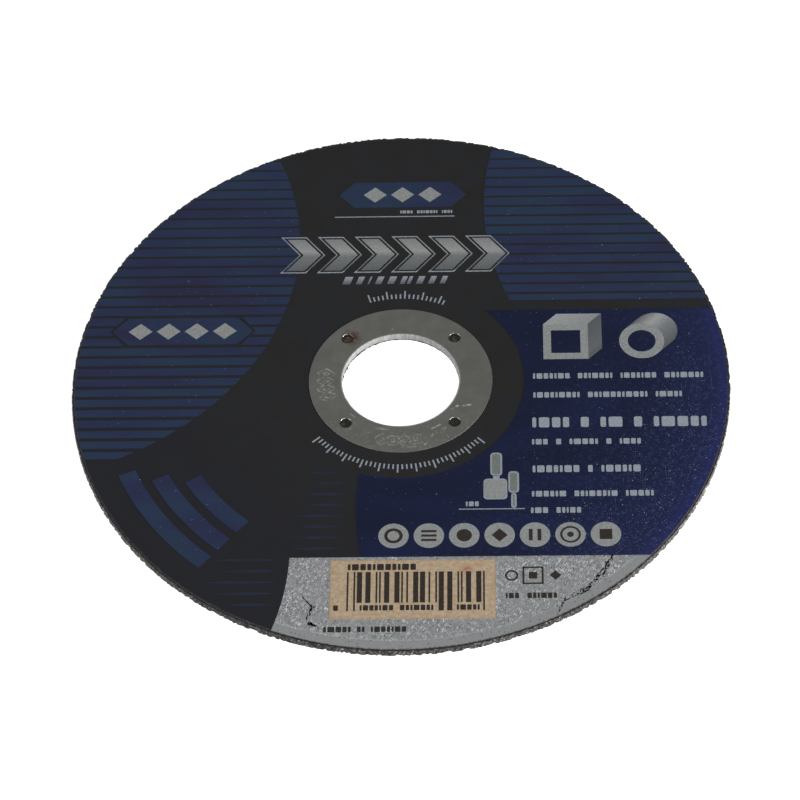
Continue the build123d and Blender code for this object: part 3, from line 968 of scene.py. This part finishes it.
# Plain marks and word bars on the bare foil
bm = bmesh.new()
mark_row, square_mark = -45.9, 24.5
lay_disc(bm, (20.6, mark_row), 1.2, foil_top, inner=0.85)
for x, y, wide, tall in ((square_mark, -44.1, 3.8, 0.35), (square_mark, -47.7, 3.8, 0.35),
                         (22.75, mark_row, 0.35, 3.6), (26.25, mark_row, 0.35, 3.6),
                         (square_mark, mark_row, 1.5, 1.5)):
    lay_bar(bm, (x, y), (wide, tall), foil_top)
lay_bar(bm, (28.6, mark_row), (1.5, 1.5), foil_top, turn=pi / 4)
lay_words(bm, 19.4, -50.4, 1.2, [2.6, 5.6], foil_top)
lay_words(bm, -13.6, -57.6, 1.2, [5.2, 1.6, 6.6], foil_top, gap=0.9)
finish_piece("foil_marks", bm, dark)

# Cracks in the bare foil
bm = bmesh.new()
for width, spread, path in (
        (0.3, 0.1, [(39.2, -41.5), (38.4, -42.6), (37.6, -44.1)]),
        (0.2, 0.3, [(37.6, -44.1), (36.8, -45.0), (36.2, -46.6)]),
        (0.2, 0.35, [(38.6, -42.6), (37.8, -45.0), (37.1, -46.3)]),
        (0.28, 0.3, [(36.6, -46.2), (35.6, -47.5)]),
        (0.2, 0.35, [(35.8, -47.2), (35.1, -47.9), (33.9, -49.2), (32.4, -50.4), (30.6, -51.2)]),
        (0.15, 0.5, [(35.4, -48.4), (33.2, -49.3), (31.6, -50.3)]),
        (0.22, 0.2, [(30.6, -51.2), (29.7, -52.2), (29.1, -54.0)]),
        (0.17, 0.08, [(-17.4, -50.4), (-15.5, -52.7)]),
        (0.2, 0.25, [(-15.5, -52.7), (-16.6, -55.6)]),
        (0.5, 0.1, [(-15.8, -56.2), (-14.8, -56.8)])):
    lay_flakes(bm, path, foil_top, width, spread)
finish_piece("foil_cracks", bm, dark)

# Floor: plain white card, lit, and white to the camera and in reflections apart from the shadow
floor_material, add, _ = start_material("white_card")
lit = add("BsdfPrincipled", Base_Color="#f0f0f0", Roughness=0.9)
glow = add("Emission", Color="#ffffff", Strength=0.6)
camera_ray = add("LightPath", output="Is Camera Ray")
glossy_ray = add("LightPath", output="Is Glossy Ray")
clear_ray = add("LightPath", output="Is Transmission Ray")
seen = add("Math MAXIMUM", camera_ray, glossy_ray)
seen = add("Math MAXIMUM", seen, clear_ray)
both = add("AddShader", lit, glow)
surface = add("MixShader", seen, lit, both)
add("OutputMaterial", Surface=surface)
bm = bmesh.new()
bmesh.ops.create_grid(bm, x_segments=1, y_segments=1, size=4.0)
floor_mesh = bpy.data.meshes.new("floor")
bm.to_mesh(floor_mesh)
bm.free()
floor_mesh.materials.append(floor_material)
floor = bpy.data.objects.new("floor", floor_mesh)
floor.location.z = -0.01 * MM
scene.collection.objects.link(floor)

# Soft studio light
world = bpy.data.worlds.new("studio")
scene.world = world
world.use_nodes = True
background = world.node_tree.nodes["Background"]
background.inputs["Color"].default_value = linear("#ffffff")
background.inputs["Strength"].default_value = 0.28

# Square soft boxes that face the disc: name, place, size and power
for name, place, size, power in (("front_softbox", (0.45, -0.75, 0.7), 0.7, 8.2),
                                 ("left_softbox", (-0.9, 0.0, 0.8), 0.6, 4.3),
                                 ("low_right_softbox", (0.95, -0.3, 0.16), 0.3, 16.0),
                                 ("low_left_softbox", (-0.8, -0.5, 0.25), 0.4, 2.4)):
    lamp = bpy.data.lights.new(name, "AREA")
    lamp.shape = "SQUARE"
    lamp.size = size
    lamp.energy = power
    holder = bpy.data.objects.new(name, lamp)
    holder.location = place
    holder.rotation_euler = (-Vector(place)).to_track_quat("-Z", "Y").to_euler()
    scene.collection.objects.link(holder)

# Camera, fitted to the photograph's rim, ring and bore
camera_data = bpy.data.cameras.new("camera")
camera_data.sensor_width = 36.0
focal_length, photo_width, distance = 3723.5, 800, 708.1
camera_data.lens = camera_data.sensor_width * focal_length / photo_width
camera_data.clip_start = 0.01
camera = bpy.data.objects.new("camera", camera_data)
azimuth, elevation = radians(2.35), radians(51.19)
yaw, pitch, roll = radians(0.0217), radians(-0.228), radians(2.408)
stand = Matrix.Rotation(azimuth, 4, "Z") @ Matrix.Rotation(pi / 2 - elevation, 4, "X")
aim = Matrix.Rotation(yaw, 4, "Y") @ Matrix.Rotation(pitch, 4, "X") @ Matrix.Rotation(-roll, 4, "Z")
camera.matrix_world = stand @ Matrix.Translation((0, 0, distance * MM)) @ aim
scene.collection.objects.link(camera)
scene.camera = camera
scene.view_settings.view_transform = "Standard"

bpy.context.view_layer.update()
